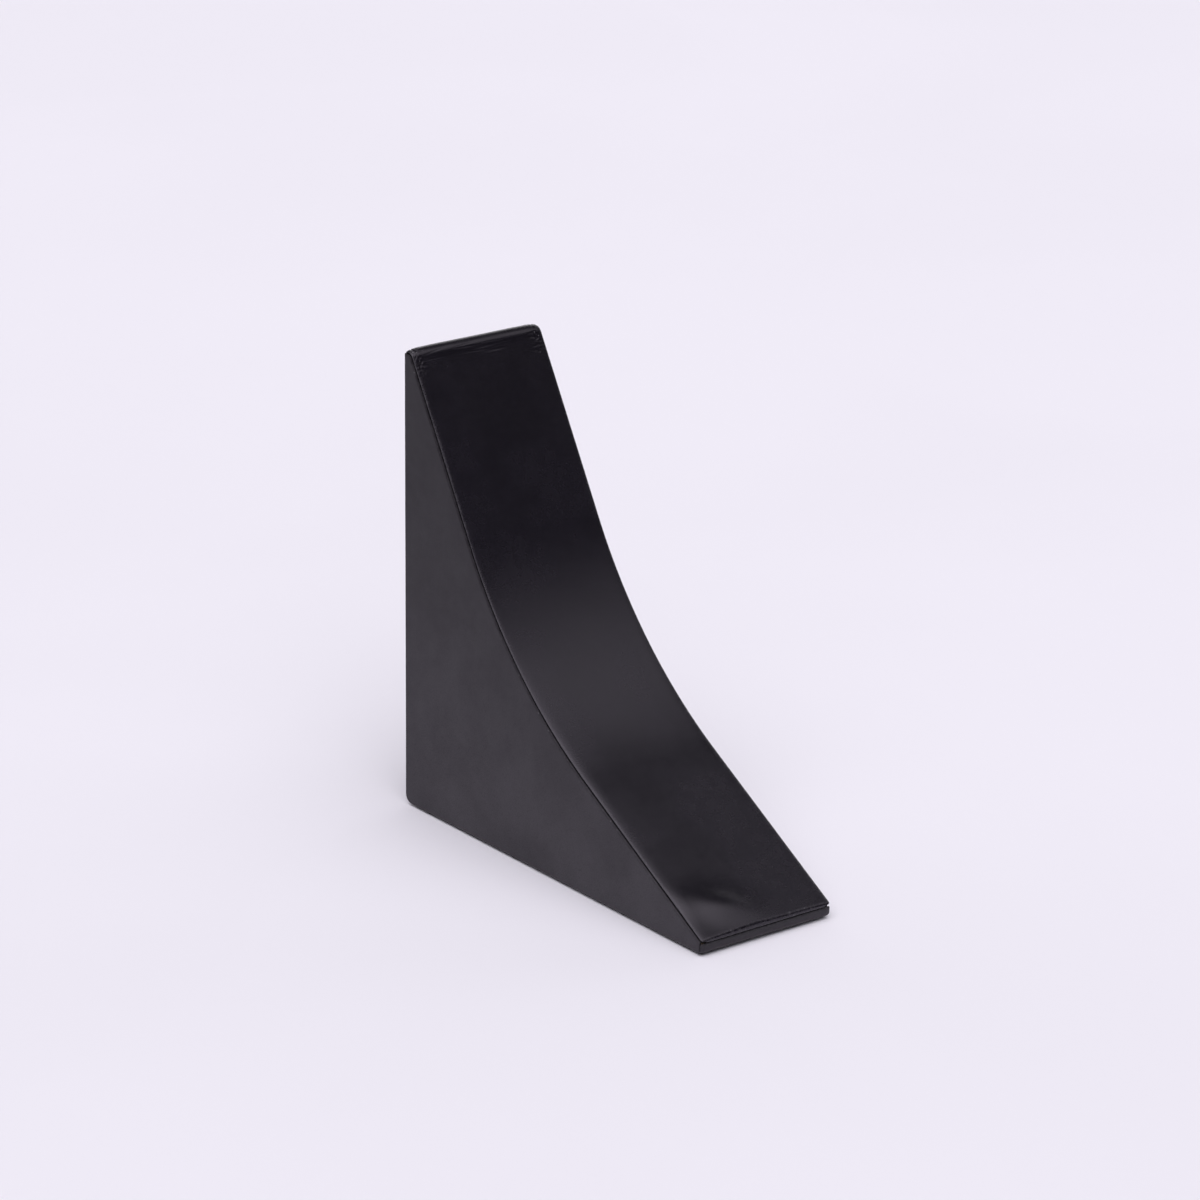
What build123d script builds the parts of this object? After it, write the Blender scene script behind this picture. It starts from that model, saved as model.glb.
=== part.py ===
from build123d import *
import os

# A weighted door stop covered in leather: a wedge with a flat base, an upright back and a hollow ramp.
# Millimetres. +X is across, with the middle plane at X = 0. -Y points to the toe, +Y to the back, +Z up.
# The origin is on the floor, in the middle of the footprint.

# Overall sizes
width = 39.6
depth = 120.0
height = 120.0

# Side outline
top_flat = 3.0  # depth of the narrow flat top
toe_height = 3.8  # height of the toe's front face
upper_slope = 30.0  # ramp's upper flat, degrees from the vertical
lower_slope = 29.6  # ramp's lower flat, degrees from the floor
ramp_radius = 125.0  # hollow curve that joins the two flats
heel_radius = 2.4  # outside turn of the leather at the back's foot
crest_radius = 1.6  # at the back's top
brow_radius = 1.2  # from the flat top to the ramp
foot_radius = 1.1  # the base panel's turn under the toe
end_radius = 0.8  # the strip's rolled end over the toe

# Cover and non-slip pad
strip_leather = 1.0  # strip and base panel
side_leather = 0.8  # side panels
seam_gap = 0.15  # between butted leather edges
heel_turn = 12.0  # how far the strip runs under the base from the back
backing = 0.5  # backing board under the ramp's leather
pad_thickness = 0.6
pad_margin = 4.0  # from the footprint's edge to the pad
pad_corner = 3.0

# Core and weight
rim = 6.0  # wood around the weight's pocket
pocket_corner = 2.0
pocket_tip = 6.0  # depth of the pocket's blunt ends
pocket_heel_corner = 10.0
plate_count = 4
plate_thickness = 6.0
plate_clearance = 0.4  # around the plates, in the pocket
rattle_pad = 0.5  # foam on each side of the stack
dowel_radius = 2.0
dowel_glue = 0.05  # radial room for glue
dowel_end_room = 0.5  # empty hole beyond each end of a dowel
dowel_cover = 2.5  # wood left over the end of a dowel hole
dowel_heel_edge = 6.0  # heel dowel's centre from the core's back and base
dowel_tip_depth = 13.0  # depth of wood where the other two dowels cross the tips

# Sizes that follow
back_y = depth / 2
toe_y = -depth / 2
base_z = pad_thickness
core_half = width / 2 - side_leather
frame_half = plate_count * plate_thickness / 2 + rattle_pad
seam_inset = strip_leather + seam_gap


def meet(first, second):
    """Crossing point of two lines in the side plane, each given as a point and a direction."""
    (start, along), (other_start, other_along) = first, second
    share = (other_start - start).cross(other_along).Z / along.cross(other_along).Z
    return start + along * share


def side_lines(inset, ramp_extra=0.0):
    """The outline's lines as base, back, top, upper ramp, lower ramp and toe, moved inwards."""
    upper_along = Vector(0, -1).rotate(Axis.Z, -upper_slope)
    lower_along = Vector(-1, 0).rotate(Axis.Z, lower_slope)
    upper_inwards = upper_along.rotate(Axis.Z, 90) * (inset + ramp_extra)
    lower_inwards = lower_along.rotate(Axis.Z, 90) * (inset + ramp_extra)
    return (
        (Vector(0, base_z + inset), Vector(1, 0)),
        (Vector(back_y - inset, 0), Vector(0, 1)),
        (Vector(0, height - inset), Vector(1, 0)),
        (Vector(back_y - top_flat, height) + upper_inwards, upper_along),
        (Vector(toe_y, base_z + toe_height) + lower_inwards, lower_along),
        (Vector(toe_y + inset, 0), Vector(0, 1)),
    )


def turned(radius, inset):
    """Radius of an outside turn, measured at some depth under the leather."""
    return max(radius - inset, 0.0)


def side_face(corners, radii):
    """Face in the plane X = 0 with straight sides and rounded corners."""
    with BuildSketch(Plane.YZ) as face:
        with BuildLine():
            FilletPolyline(*corners, radius=radii, close=True)
        make_face()
    return face.sketch


def wedge_face(inset, ramp_extra=0.0):
    """The whole side outline, moved inwards."""
    base, back, top, upper, lower, toe = side_lines(inset, ramp_extra)
    corners = [
        meet(base, back),
        meet(back, top),
        meet(top, upper),
        meet(upper, lower),
        meet(lower, toe),
        meet(toe, base),
    ]
    radii = [
        turned(heel_radius, inset),
        turned(crest_radius, inset),
        turned(brow_radius, inset),
        ramp_radius + inset + ramp_extra,
        turned(end_radius, inset),
        turned(foot_radius, inset),
    ]
    return side_face(corners, radii)


def pocket_face(clearance=0.0):
    """Outline of the weight's pocket inside the core, or of what lies in it with some clearance."""
    inset = strip_leather + rim + clearance
    base, back, _, upper, lower, _ = side_lines(inset, backing)
    heel = meet(base, back)
    past_back = (back[0] + Vector(depth, 0), back[1])
    under_base = (base[0] - Vector(0, height), base[1])
    corners = [
        meet(under_base, past_back),
        meet(past_back, upper),
        meet(upper, lower),
        meet(lower, under_base),
    ]
    tip_height = meet((back[0] - Vector(pocket_tip, 0), back[1]), upper).Y - heel.Y
    tip_reach = heel.X - meet((base[0] + Vector(0, pocket_tip), base[1]), lower).X
    with BuildSketch(Plane.YZ) as face:
        with BuildLine():
            FilletPolyline(*corners, radius=[0, 0, ramp_radius + inset + backing, 0], close=True)
        make_face()
        with Locations(heel):
            Rectangle(tip_reach, tip_height, align=(Align.MAX, Align.MIN), mode=Mode.INTERSECT)
        fillet(face.vertices().sort_by_distance(heel)[0], pocket_heel_corner)
        fillet(face.vertices().sort_by(Axis.Y)[-2:], pocket_corner)
        fillet(face.vertices().sort_by(Axis.X)[:2], pocket_corner)
    return face.sketch


def dowel_places():
    """Dowel centres in the side plane: in the heel, under the top and behind the toe."""
    base, back, _, upper, lower, _ = side_lines(strip_leather, backing)
    heel = meet(base, back) + Vector(-dowel_heel_edge, dowel_heel_edge)
    past_back = (back[0] - Vector(dowel_tip_depth, 0), back[1])
    past_base = (base[0] + Vector(0, dowel_tip_depth), base[1])
    crest = meet(past_back, upper) + Vector(dowel_tip_depth / 2, 0)
    toe = meet(past_base, lower) - Vector(0, dowel_tip_depth / 2)
    return [heel, crest, toe]


def dowel_circles(radius):
    """The dowels' circles in the plane X = 0."""
    with BuildSketch(Plane.YZ) as circles:
        with Locations(*dowel_places()):
            Circle(radius)
    return circles.sketch


def save(piece, name):
    """Label a finished piece and write it."""
    piece.part.label = name
    export_step(piece.part, f"parts/{name}.step")


os.makedirs("parts", exist_ok=True)

# Core: a frame between two thin boards, with the weight's pocket cut through the frame.
core_outline = wedge_face(strip_leather, backing)
dowel_holes = dowel_circles(dowel_radius + dowel_glue)

with BuildPart() as core_frame:
    extrude(core_outline, amount=frame_half, both=True)
    extrude(pocket_face(), amount=frame_half, both=True, mode=Mode.SUBTRACT)
    extrude(dowel_holes, amount=frame_half, both=True, mode=Mode.SUBTRACT)
save(core_frame, "core_frame")

with BuildPart() as core_side_left:
    extrude(core_outline, amount=-core_half)
    extrude(core_outline, amount=-frame_half, mode=Mode.SUBTRACT)
    extrude(dowel_holes, amount=-(core_half - dowel_cover), mode=Mode.SUBTRACT)
save(core_side_left, "core_side_left")

with BuildPart() as core_side_right:
    mirror(core_side_left.part, about=Plane.YZ)
save(core_side_right, "core_side_right")

with BuildPart() as core_dowels:
    extrude(dowel_circles(dowel_radius), amount=core_half - dowel_cover - dowel_end_room, both=True)
save(core_dowels, "core_dowels")

# Weight: steel plates with a foam sheet on each side of the stack.
stack_outline = pocket_face(plate_clearance)

for number in range(plate_count):
    plate_start = -plate_count * plate_thickness / 2 + number * plate_thickness
    with BuildPart() as weight_plate:
        extrude(stack_outline.moved(Location((plate_start, 0, 0))), amount=plate_thickness)
    save(weight_plate, f"weight_plate_{number + 1}")

with BuildPart() as rattle_pad_left:
    extrude(stack_outline.moved(Location((-frame_half, 0, 0))), amount=rattle_pad)
save(rattle_pad_left, "rattle_pad_left")

with BuildPart() as rattle_pad_right:
    mirror(rattle_pad_left.part, about=Plane.YZ)
save(rattle_pad_right, "rattle_pad_right")

# Backing board on the core's ramp, which hides the boards' joints under the leather.
_, _, under_top, outer_upper, outer_lower, behind_toe = side_lines(strip_leather)
_, _, _, inner_upper, inner_lower, _ = side_lines(strip_leather, backing)
backing_outline = side_face(
    [
        meet(under_top, outer_upper),
        meet(outer_upper, outer_lower),
        meet(outer_lower, behind_toe),
        meet(inner_lower, behind_toe),
        meet(inner_upper, inner_lower),
        meet(inner_upper, under_top),
    ],
    [
        turned(brow_radius, strip_leather),
        ramp_radius + strip_leather,
        0,
        0,
        ramp_radius + strip_leather + backing,
        0,
    ],
)

with BuildPart() as ramp_backing:
    extrude(backing_outline, amount=core_half, both=True)
save(ramp_backing, "ramp_backing")

# Side panels: leather on the core's sides. They run out to the back and the base, and stop inside
# the edges of the strip and of the toe's lip.
base_out, back_out, top_out, upper_out, lower_out, toe_out = side_lines(0)
base_in, back_in, top_in, upper_in, lower_in, toe_in = side_lines(strip_leather)
_, _, top_seam, upper_seam, lower_seam, toe_seam = side_lines(seam_inset)
side_outline = side_face(
    [
        meet(base_out, back_out),
        meet(back_out, top_seam),
        meet(top_seam, upper_seam),
        meet(upper_seam, lower_seam),
        meet(lower_seam, toe_seam),
        meet(toe_seam, base_out),
    ],
    [
        heel_radius,
        turned(crest_radius, seam_inset),
        turned(brow_radius, seam_inset),
        ramp_radius + seam_inset,
        0,
        0,
    ],
)

with BuildPart() as side_panel_left:
    extrude(side_outline.moved(Location((-width / 2, 0, 0))), amount=side_leather)
save(side_panel_left, "side_panel_left")

with BuildPart() as side_panel_right:
    mirror(side_panel_left.part, about=Plane.YZ)
save(side_panel_right, "side_panel_right")

# Room for the side panels' edges, where the strip and the base panel are narrower.
past_base = (base_out[0] - Vector(0, strip_leather), base_out[1])
past_back = (back_out[0] + Vector(strip_leather, 0), back_out[1])
room_outline = side_face(
    [
        meet(past_base, past_back),
        meet(past_back, top_in),
        meet(top_in, upper_in),
        meet(upper_in, lower_in),
        meet(lower_in, toe_in),
        meet(toe_in, past_base),
    ],
    [0, 0, turned(brow_radius, strip_leather), ramp_radius + strip_leather, 0, 0],
)

with BuildPart() as side_room:
    extrude(room_outline, amount=width / 2, both=True)
    extrude(room_outline, amount=core_half - seam_gap, both=True, mode=Mode.SUBTRACT)

# Strip: from the toe up the ramp, over the top, down the back and a little way under the base.
strip_end = (Vector(back_y - heel_turn, 0), Vector(0, 1))
strip_outline = side_face(
    [
        meet(lower_out, toe_out),
        meet(upper_out, lower_out),
        meet(top_out, upper_out),
        meet(back_out, top_out),
        meet(base_out, back_out),
        meet(base_out, strip_end),
        meet(base_in, strip_end),
        meet(base_in, back_in),
        meet(back_in, top_in),
        meet(top_in, upper_in),
        meet(upper_in, lower_in),
        meet(lower_in, toe_out),
    ],
    [
        end_radius,
        ramp_radius,
        brow_radius,
        crest_radius,
        heel_radius,
        0,
        0,
        turned(heel_radius, strip_leather),
        turned(crest_radius, strip_leather),
        turned(brow_radius, strip_leather),
        ramp_radius + strip_leather,
        0,
    ],
)

with BuildPart() as cover_strip:
    extrude(strip_outline, amount=width / 2, both=True)
    add(side_room.part, mode=Mode.SUBTRACT)
save(cover_strip, "cover_strip")

# Base panel: under the core, from the strip's end to the toe, and up the toe's front face to the strip.
base_end = (Vector(back_y - heel_turn - seam_gap, 0), Vector(0, 1))
base_outline = side_face(
    [
        meet(lower_seam, toe_out),
        meet(toe_out, base_out),
        meet(base_out, base_end),
        meet(base_in, base_end),
        meet(base_in, toe_in),
        meet(lower_seam, toe_in),
    ],
    [0, foot_radius, 0, 0, turned(foot_radius, strip_leather), 0],
)

with BuildPart() as base_panel:
    extrude(base_outline, amount=width / 2, both=True)
    add(side_room.part, mode=Mode.SUBTRACT)
save(base_panel, "base_panel")

# Non-slip pad under the base, set in from the edges. The door stop stands on it.
with BuildPart() as base_pad:
    with BuildSketch(Plane.XY):
        RectangleRounded(width - 2 * pad_margin, depth - 2 * pad_margin, pad_corner)
    extrude(amount=pad_thickness)
save(base_pad, "base_pad")
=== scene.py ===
"""Looks and studio of a weighted door stop covered in leather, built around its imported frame."""

import math

import bmesh
import bpy
import numpy as np
from mathutils import Matrix, Vector


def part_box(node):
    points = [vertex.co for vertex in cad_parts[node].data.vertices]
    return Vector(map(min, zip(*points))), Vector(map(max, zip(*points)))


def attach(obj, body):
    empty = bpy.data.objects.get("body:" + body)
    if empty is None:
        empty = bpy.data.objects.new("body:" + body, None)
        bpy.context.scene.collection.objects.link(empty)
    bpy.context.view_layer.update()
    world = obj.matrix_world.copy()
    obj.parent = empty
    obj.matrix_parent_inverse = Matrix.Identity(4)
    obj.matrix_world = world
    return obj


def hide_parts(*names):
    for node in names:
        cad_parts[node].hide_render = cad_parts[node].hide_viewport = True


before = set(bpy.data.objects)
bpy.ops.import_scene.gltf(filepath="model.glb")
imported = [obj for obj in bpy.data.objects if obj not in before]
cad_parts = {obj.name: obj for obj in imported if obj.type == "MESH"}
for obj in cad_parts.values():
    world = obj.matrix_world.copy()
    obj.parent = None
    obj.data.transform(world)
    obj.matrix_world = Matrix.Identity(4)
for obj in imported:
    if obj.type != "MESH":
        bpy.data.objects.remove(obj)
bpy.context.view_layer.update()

bl_info = {
    "name": "Leather Door Stop",
    "version": (1, 0, 0),
    "blender": (4, 5, 0),
    "location": "3D View > Sidebar > Door Stop",
    "description": "Leather cover, non-slip pad, core finishes and studio of a weighted door stop",
    "category": "Add Mesh",
}

MM = 0.001
EDGE = "edge_mm"  # the leather pieces' own attribute: distance from the nearest cut edge, in millimetres
WORN = "worn"  # the strip's own attribute: 1 where the leather was gathered and scuffed, 0 elsewhere
END_ROLL = 0.3 * MM  # rounded border of the strip's and the base panel's ends at the heel
LIP_ROLL = 0.7 * MM  # rounded border of the base panel's end at the toe
LIP_CORNER = 0.4 * MM  # plan radius of the base panel's corners at the toe
SWELL_ALONG, SWELL_ACROSS = 7.6 * MM, -8.5 * MM  # the swelling's middle, from the toe and from the centre
SWELL_LENGTH, SWELL_WIDTH = 5.2 * MM, 8.0 * MM  # how far it fades along and across the strip
SWELL_SKEW = 0.35  # its slant: shift towards the toe for each step across
PANEL_CENTRE = (35.0 * MM, 25.0 * MM)  # (Y, Z) that the side panels' rings are drawn towards
PUCKERS = (34.0 * MM, 21.0 * MM, 6.0 * MM, 44.0 * MM)  # Y of the puckers along the side panels' base edge
KEY_WAY = (0.575, -0.285, 0.766)  # directions from the object to the middles of the soft lights
TOP_WAY = (-0.25, -0.20, 0.945)
FRONT_WAY = (-0.42, -0.70, 0.577)
BEHIND_WAY = (0.61, 0.79, 0.0)
LINE_SAMPLES = 240  # points on each run and each arc of a side line, before stations are read from it


# ------------------------------------------------------------------ sizes and colours


def length(name, description, millimetres):
    """A length property whose default is given in millimetres."""
    return bpy.props.FloatProperty(
        name=name,
        description=description,
        default=millimetres * MM,
        min=0.0,
        precision=5,
        unit="LENGTH",
    )


def share(name, description, default):
    """A property from 0 to 1."""
    return bpy.props.FloatProperty(
        name=name, description=description, default=default, min=0.0, max=1.0, subtype="FACTOR"
    )


def angle(name, description, degrees):
    """An angle property whose default is given in degrees."""
    return bpy.props.FloatProperty(
        name=name, description=description, default=math.radians(degrees), subtype="ANGLE"
    )


def colour(name, description, default):
    """A colour property."""
    return bpy.props.FloatVectorProperty(
        name=name, description=description, default=default, size=3, min=0.0, max=1.0, subtype="COLOR"
    )


def radiance(name, description, default):
    """A light's brightness."""
    return bpy.props.FloatProperty(name=name, description=description, default=default)


class CoverSizes(bpy.types.PropertyGroup):
    """Sizes of the leather cover and the pad."""

    strip_leather: length("Strip leather", "Thickness of the strip and the base panel", 1.0)
    seam_gap: length("Seam gap", "Gap between the leather's edges along the ramp's side seams", 0.64)
    side_gap: length("Side gap", "Gap between the side panels and the leather between them", 0.03)
    toe_gap: length("Toe gap", "Gap of the seam across the toe", 0.06)
    toe_height: length("Toe height", "Height of the toe's front face", 3.8)
    top_flat: length("Top flat", "Depth of the narrow flat top", 3.0)
    upper_slope: angle("Upper slope", "Ramp's upper flat, from the vertical", 30.0)
    lower_slope: angle("Lower slope", "Ramp's lower flat, from the floor", 29.6)
    ramp_radius: length("Ramp radius", "Hollow curve that joins the ramp's two flats", 125.0)
    heel_radius: length("Heel radius", "Turn of the leather at the back's foot", 2.4)
    crest_radius: length("Crest radius", "Turn of the leather at the back's top", 1.2)
    brow_radius: length("Brow radius", "Turn of the leather from the flat top to the ramp", 2.8)
    foot_radius: length("Foot radius", "Turn of the base panel under the toe", 1.1)
    edge_turn: length("Edge turn", "Height of the rounded border along the strip's sides", 0.48)
    seam_depth: length("Seam depth", "From the strip's face down to the side seam", 0.54)
    edge_inset: length("Edge inset", "How far the strip's edges stand back from the sides", 0.12)
    strip_roll: length("Strip roll", "Width of the rounded border along the strip's sides", 3.0)
    side_fall: length("Side fall", "How much lower the strip lies near its sides than in the middle", 0.12)
    toe_roll: length("Toe roll", "Width of the rounded border at the strip's toe end", 0.8)
    panel_roll: length("Panel roll", "Width of the rounded border of the side panels", 0.55)
    toe_corner: length("Toe corner", "Plan radius of the strip's corners at the toe", 0.8)
    ripple: length("Ripple", "Height of the leather's slow waviness", 0.035)
    crease_depth: length("Crease depth", "Depth of the creases gathered at the top's corners", 0.26)
    crest_lift: length("Crest lift", "How far the leather stands up where it is stretched over the top", 0.25)
    toe_lift: length("Toe lift", "How far the strip swells before it turns down at the toe", 1.1)
    pad_corner: length("Pad corner", "Corner radius of the non-slip pad", 3.0)


class CoverColours(bpy.types.PropertyGroup):
    """Colours and gloss of the leather and the core."""

    strip_black: colour("Strip black", "Colour of the strip", (0.0036, 0.0028, 0.0058))
    side_black: colour("Side black", "Colour of the side panels at the top", (0.0068, 0.0058, 0.0074))
    # Painted light: the side panels are painted lighter towards the base, reaching this colour at the foot.
    side_base_painted_light: colour("Side base painted light", "Colour of the side panels at the base", (0.0430, 0.0395, 0.0455))
    base_black: colour("Base black", "Colour of the base panel", (0.0150, 0.0142, 0.0162))
    dust: colour("Dust", "Colour of dust specks and rubbed edges", (0.30, 0.29, 0.31))
    sheen_tint: colour("Sheen tint", "Tint of the leather's reflections", (0.96, 0.885, 1.0))
    strip_roughness: share("Strip roughness", "Roughness of the strip", 0.24)
    side_roughness: share("Side roughness", "Roughness of the side panels", 0.52)
    grain_pitch: length("Grain pitch", "Size of the leather's pebbles", 0.45)
    grain_depth: length("Grain depth", "Depth of the leather's pebbles", 0.010)


class StudioSettings(bpy.types.PropertyGroup):
    """Camera, floor and light."""

    azimuth: angle("Azimuth", "Camera's place round the object, from its front", -37.73)
    elevation: angle("Elevation", "Camera's height above the horizon", 19.724)
    roll: angle("Roll", "Camera's turn about its own axis", 0.613)
    distance: bpy.props.FloatProperty(
        name="Distance", description="From the camera to its target", default=1.24399, unit="LENGTH"
    )
    aim_height: length("Aim height", "Height on the object that the camera's target is measured from", 48.0)
    aim_right: bpy.props.FloatProperty(
        name="Aim right", description="Target's shift to the camera's right", default=-0.003711, unit="LENGTH"
    )
    aim_up: bpy.props.FloatProperty(
        name="Aim up", description="Target's shift upwards in the picture", default=0.018732, unit="LENGTH"
    )
    lens: bpy.props.FloatProperty(
        name="Lens", description="Focal length in millimetres on a 36 mm sensor", default=153.38
    )
    floor_colour: colour("Floor colour", "Colour of the floor and the backdrop", (0.86, 0.838, 0.905))
    key_radiance: radiance("Key", "Brightness of the soft light at the right", 0.8)
    top_radiance: radiance("Top", "Brightness of the wide soft light overhead", 2.42)
    front_radiance: radiance("Front", "Brightness of the soft light above the camera", 1.0)
    backdrop_radiance: radiance("Backdrop", "Brightness of the backdrop behind the object", 1.25)
    room_radiance: radiance("Room", "Brightness of the room around the studio", 0.10)


# ------------------------------------------------------------------ lines in the side plane


def cross(first, second):
    """Signed area between two plane vectors."""
    return first[..., 0] * second[..., 1] - first[..., 1] * second[..., 0]


def meet(first, second):
    """Crossing point of two lines in the side plane, each a point and a direction."""
    (start, along), (other_start, other_along) = first, second
    return start + along * cross(other_start - start, other_along) / cross(along, other_along)


def cover_lines(sizes, inset):
    """The side outline's lines as base, back, top, upper ramp, lower ramp and toe, moved inwards.

    Each is a point and a direction, in (Y, Z). A sloping line moves along its inward normal.
    """
    low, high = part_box("cover_strip")
    across, upright = np.array([1.0, 0.0]), np.array([0.0, 1.0])
    upper = np.array([-math.sin(sizes.upper_slope), -math.cos(sizes.upper_slope)])
    lower = np.array([-math.cos(sizes.lower_slope), -math.sin(sizes.lower_slope)])
    upper_in = np.array([-upper[1], upper[0]])
    lower_in = np.array([-lower[1], lower[0]])
    return (
        (np.array([0.0, low.z + inset]), across),
        (np.array([high.y - inset, 0.0]), upright),
        (np.array([0.0, high.z - inset]), across),
        (np.array([high.y - sizes.top_flat, high.z]) + upper_in * inset, upper),
        (np.array([low.y, low.z + sizes.toe_height]) + lower_in * inset, lower),
        (np.array([low.y + inset, 0.0]), upright),
    )


def rounded_line(corners, radii, closed=False):
    """Straight runs joined by tangent arcs, sampled densely.

    A run is start + share * (end - start). An arc is centre + radius * (cos, sin) of an angle that
    turns evenly, and reaches radius * tan(half the turn) from its corner along both sides.
    Returns each sample's place (1 for each run and arc passed), point, heading and length so far.
    """
    corners, radii = np.array(corners), np.array(radii, float)
    into = corners - np.roll(corners, 1, axis=0)
    into /= np.linalg.norm(into, axis=1, keepdims=True)
    out_of = np.roll(into, -1, axis=0)
    turn = np.arctan2(cross(into, out_of), (into * out_of).sum(1))
    reach = (radii * np.tan(np.abs(turn) / 2))[:, None]
    start, end = corners - into * reach, corners + out_of * reach
    side = np.sign(turn)[:, None] * radii[:, None]
    left = np.stack([-into[:, 1], into[:, 0]], axis=1)
    centre = start + left * side
    heading = math.atan2(into[0, 1], into[0, 0]) + np.cumsum(turn) - turn
    shares = np.linspace(0.0, 1.0, LINE_SAMPLES)
    arc_heading = heading[:, None] + turn[:, None] * shares
    arc_left = np.stack([-np.sin(arc_heading), np.cos(arc_heading)], axis=2)
    arcs = centre[:, None] - arc_left * side[:, None]
    runs = end[:, None] + (np.roll(start, -1, axis=0) - end)[:, None] * shares[:, None]
    run_heading = np.repeat((heading + turn)[:, None], LINE_SAMPLES, axis=1)
    points = np.stack([arcs, runs], axis=1).reshape(-1, 2)
    headings = np.stack([arc_heading, run_heading], axis=1).ravel()
    places = (np.arange(2 * len(corners))[:, None] + shares).ravel()
    if not closed:
        kept = slice(LINE_SAMPLES, -2 * LINE_SAMPLES)
        points, headings, places = points[kept], headings[kept], places[kept]
    steps = np.linalg.norm(np.diff(points, axis=0), axis=1)
    return places, points, headings, np.concatenate([[0.0], np.cumsum(steps)])


def read_line(line, lengths):
    """Points and outward normals of a line that runs clockwise, at some lengths along it."""
    _, points, headings, so_far = line
    heading = np.interp(lengths, so_far, headings)
    place = np.stack([np.interp(lengths, so_far, points[:, k]) for k in (0, 1)], axis=1)
    return place, np.stack([-np.sin(heading), np.cos(heading)], axis=1)


def stations(end, spacing, close=()):
    """Lengths from 0 to end, one spacing apart and closer near some places.

    close holds (place, reach, spacing there). The count so far is the integral of 1 / spacing.
    """
    fine = np.linspace(0.0, end, 20001)
    gap = np.full_like(fine, spacing)
    for place, reach, small in close:
        away = np.clip(np.abs(fine - place) / reach - 1.0, 0.0, 1.0)
        gap = np.minimum(gap, small + (spacing - small) * away)
    count = np.concatenate([[0.0], np.cumsum(np.diff(fine) / gap[1:])])
    return np.interp(np.linspace(0.0, count[-1], math.ceil(count[-1]) + 1), count, fine)


# ------------------------------------------------------------------ relief of the leather


def roll_steps(width, power, count):
    """Distances in from a cut edge, evenly spread along a quarter of a superellipse."""
    return width * (1.0 - np.cos(np.linspace(0.0, np.pi / 2, count)) ** (2.0 / power))


def roll_rise(distance, width, power):
    """Share of the full height at distance d from a cut edge: (1 - d / width) ** power + rise ** power = 1."""
    left = np.clip(1.0 - distance / width, 0.0, 1.0)
    return (1.0 - left**power) ** (1.0 / power)


def smooth(value, low, high):
    """0 below low, 1 above high and a smooth step between them."""
    t = np.clip((value - low) / (high - low), 0.0, 1.0)
    return t * t * (3.0 - 2.0 * t)


def waves(points, pitch, seed):
    """Smooth random relief, spread of about 1: sine waves about one pitch long, in random directions."""
    random = np.random.default_rng(seed)
    count = 16
    directions = random.normal(size=(count, 3))
    directions /= np.linalg.norm(directions, axis=1, keepdims=True)
    rates = 2.0 * np.pi / (pitch * random.uniform(0.7, 1.7, count))
    phases = random.uniform(0.0, 2.0 * np.pi, count)
    total = np.zeros(points.shape[:-1])
    for direction, rate, phase in zip(directions, rates, phases):
        total += np.sin(points @ direction * rate + phase)
    return total / math.sqrt(count / 2)


def creases(along, inwards, marks):
    """Relief of short creases, negative in their valleys.

    Each mark is (along, inwards, angle, half length, half width, depth). Across a crease the height is
    -(1 - 1.4 b^2) * exp(-b^2), with b in half widths, so that its lips stand up a little. It fades to
    nothing as (1 - a^2)^2 towards its ends.
    """
    total = np.zeros(np.broadcast(along, inwards).shape)
    for centre, depth_in, turn, reach, width, depth in marks:
        da, db = along - centre, inwards - depth_in
        a = (da * math.cos(turn) + db * math.sin(turn)) / reach
        b = (db * math.cos(turn) - da * math.sin(turn)) / width
        fade = np.clip(1.0 - a * a, 0.0, 1.0) ** 2
        total -= depth * (1.0 - 1.4 * b * b) * np.exp(-b * b) * fade
    return total


def gathered_marks(seed, centre, spread, depth, count):
    """Seeded creases scattered about a corner where the leather was gathered, most along the side edge."""
    random = np.random.default_rng(seed)
    marks = []
    for _ in range(count):
        marks.append(
            (
                centre + random.uniform(-0.4, 1.0) * spread,
                random.uniform(0.5, 3.2) * MM,
                random.normal(0.15, 0.55),
                random.uniform(0.7, 2.0) * MM,
                random.uniform(0.14, 0.26) * MM,
                depth * random.uniform(0.35, 1.0),
            )
        )
    return marks


# ------------------------------------------------------------------ meshes


def grid_faces(rows, columns, wrap_columns):
    """Quads of a grid numbered row by row, with its last column joined to its first if wrapped."""
    row = np.arange(rows - 1)[:, None] * columns
    column = np.arange(columns if wrap_columns else columns - 1)[None, :]
    following = (column + 1) % columns
    quads = np.stack(
        [row + column, row + following, row + columns + following, row + columns + column], axis=2
    )
    return quads.reshape(-1, 4)


def closed_object(name, points, columns, attributes):
    """A mesh object from a grid that wraps round in its columns, welded at its poles and facing outwards."""
    mesh = bpy.data.meshes.new(name)
    flat = points.reshape(-1, 3)
    faces = grid_faces(len(flat) // columns, columns, True)
    mesh.vertices.add(len(flat))
    mesh.vertices.foreach_set("co", flat.ravel().astype(np.float32))
    mesh.loops.add(faces.size)
    mesh.loops.foreach_set("vertex_index", faces.ravel().astype(np.int32))
    mesh.polygons.add(len(faces))
    mesh.polygons.foreach_set("loop_start", np.arange(0, faces.size, 4, dtype=np.int32))
    mesh.update(calc_edges=True)
    for key, values in attributes.items():
        mesh.attributes.new(key, "FLOAT", "POINT").data.foreach_set(
            "value", values.ravel().astype(np.float32)
        )
    work = bmesh.new()
    work.from_mesh(mesh)
    bmesh.ops.remove_doubles(work, verts=work.verts, dist=2e-7)
    bmesh.ops.dissolve_degenerate(work, edges=work.edges, dist=1e-8)
    bmesh.ops.recalc_face_normals(work, faces=work.faces)
    if work.calc_volume(signed=True) < 0.0:
        bmesh.ops.reverse_faces(work, faces=work.faces)
    work.to_mesh(mesh)
    work.free()
    mesh.polygons.foreach_set("use_smooth", np.ones(len(mesh.polygons), bool))
    mesh.update()
    piece = bpy.data.objects.new(name, mesh)
    bpy.context.scene.collection.objects.link(piece)
    return piece


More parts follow.
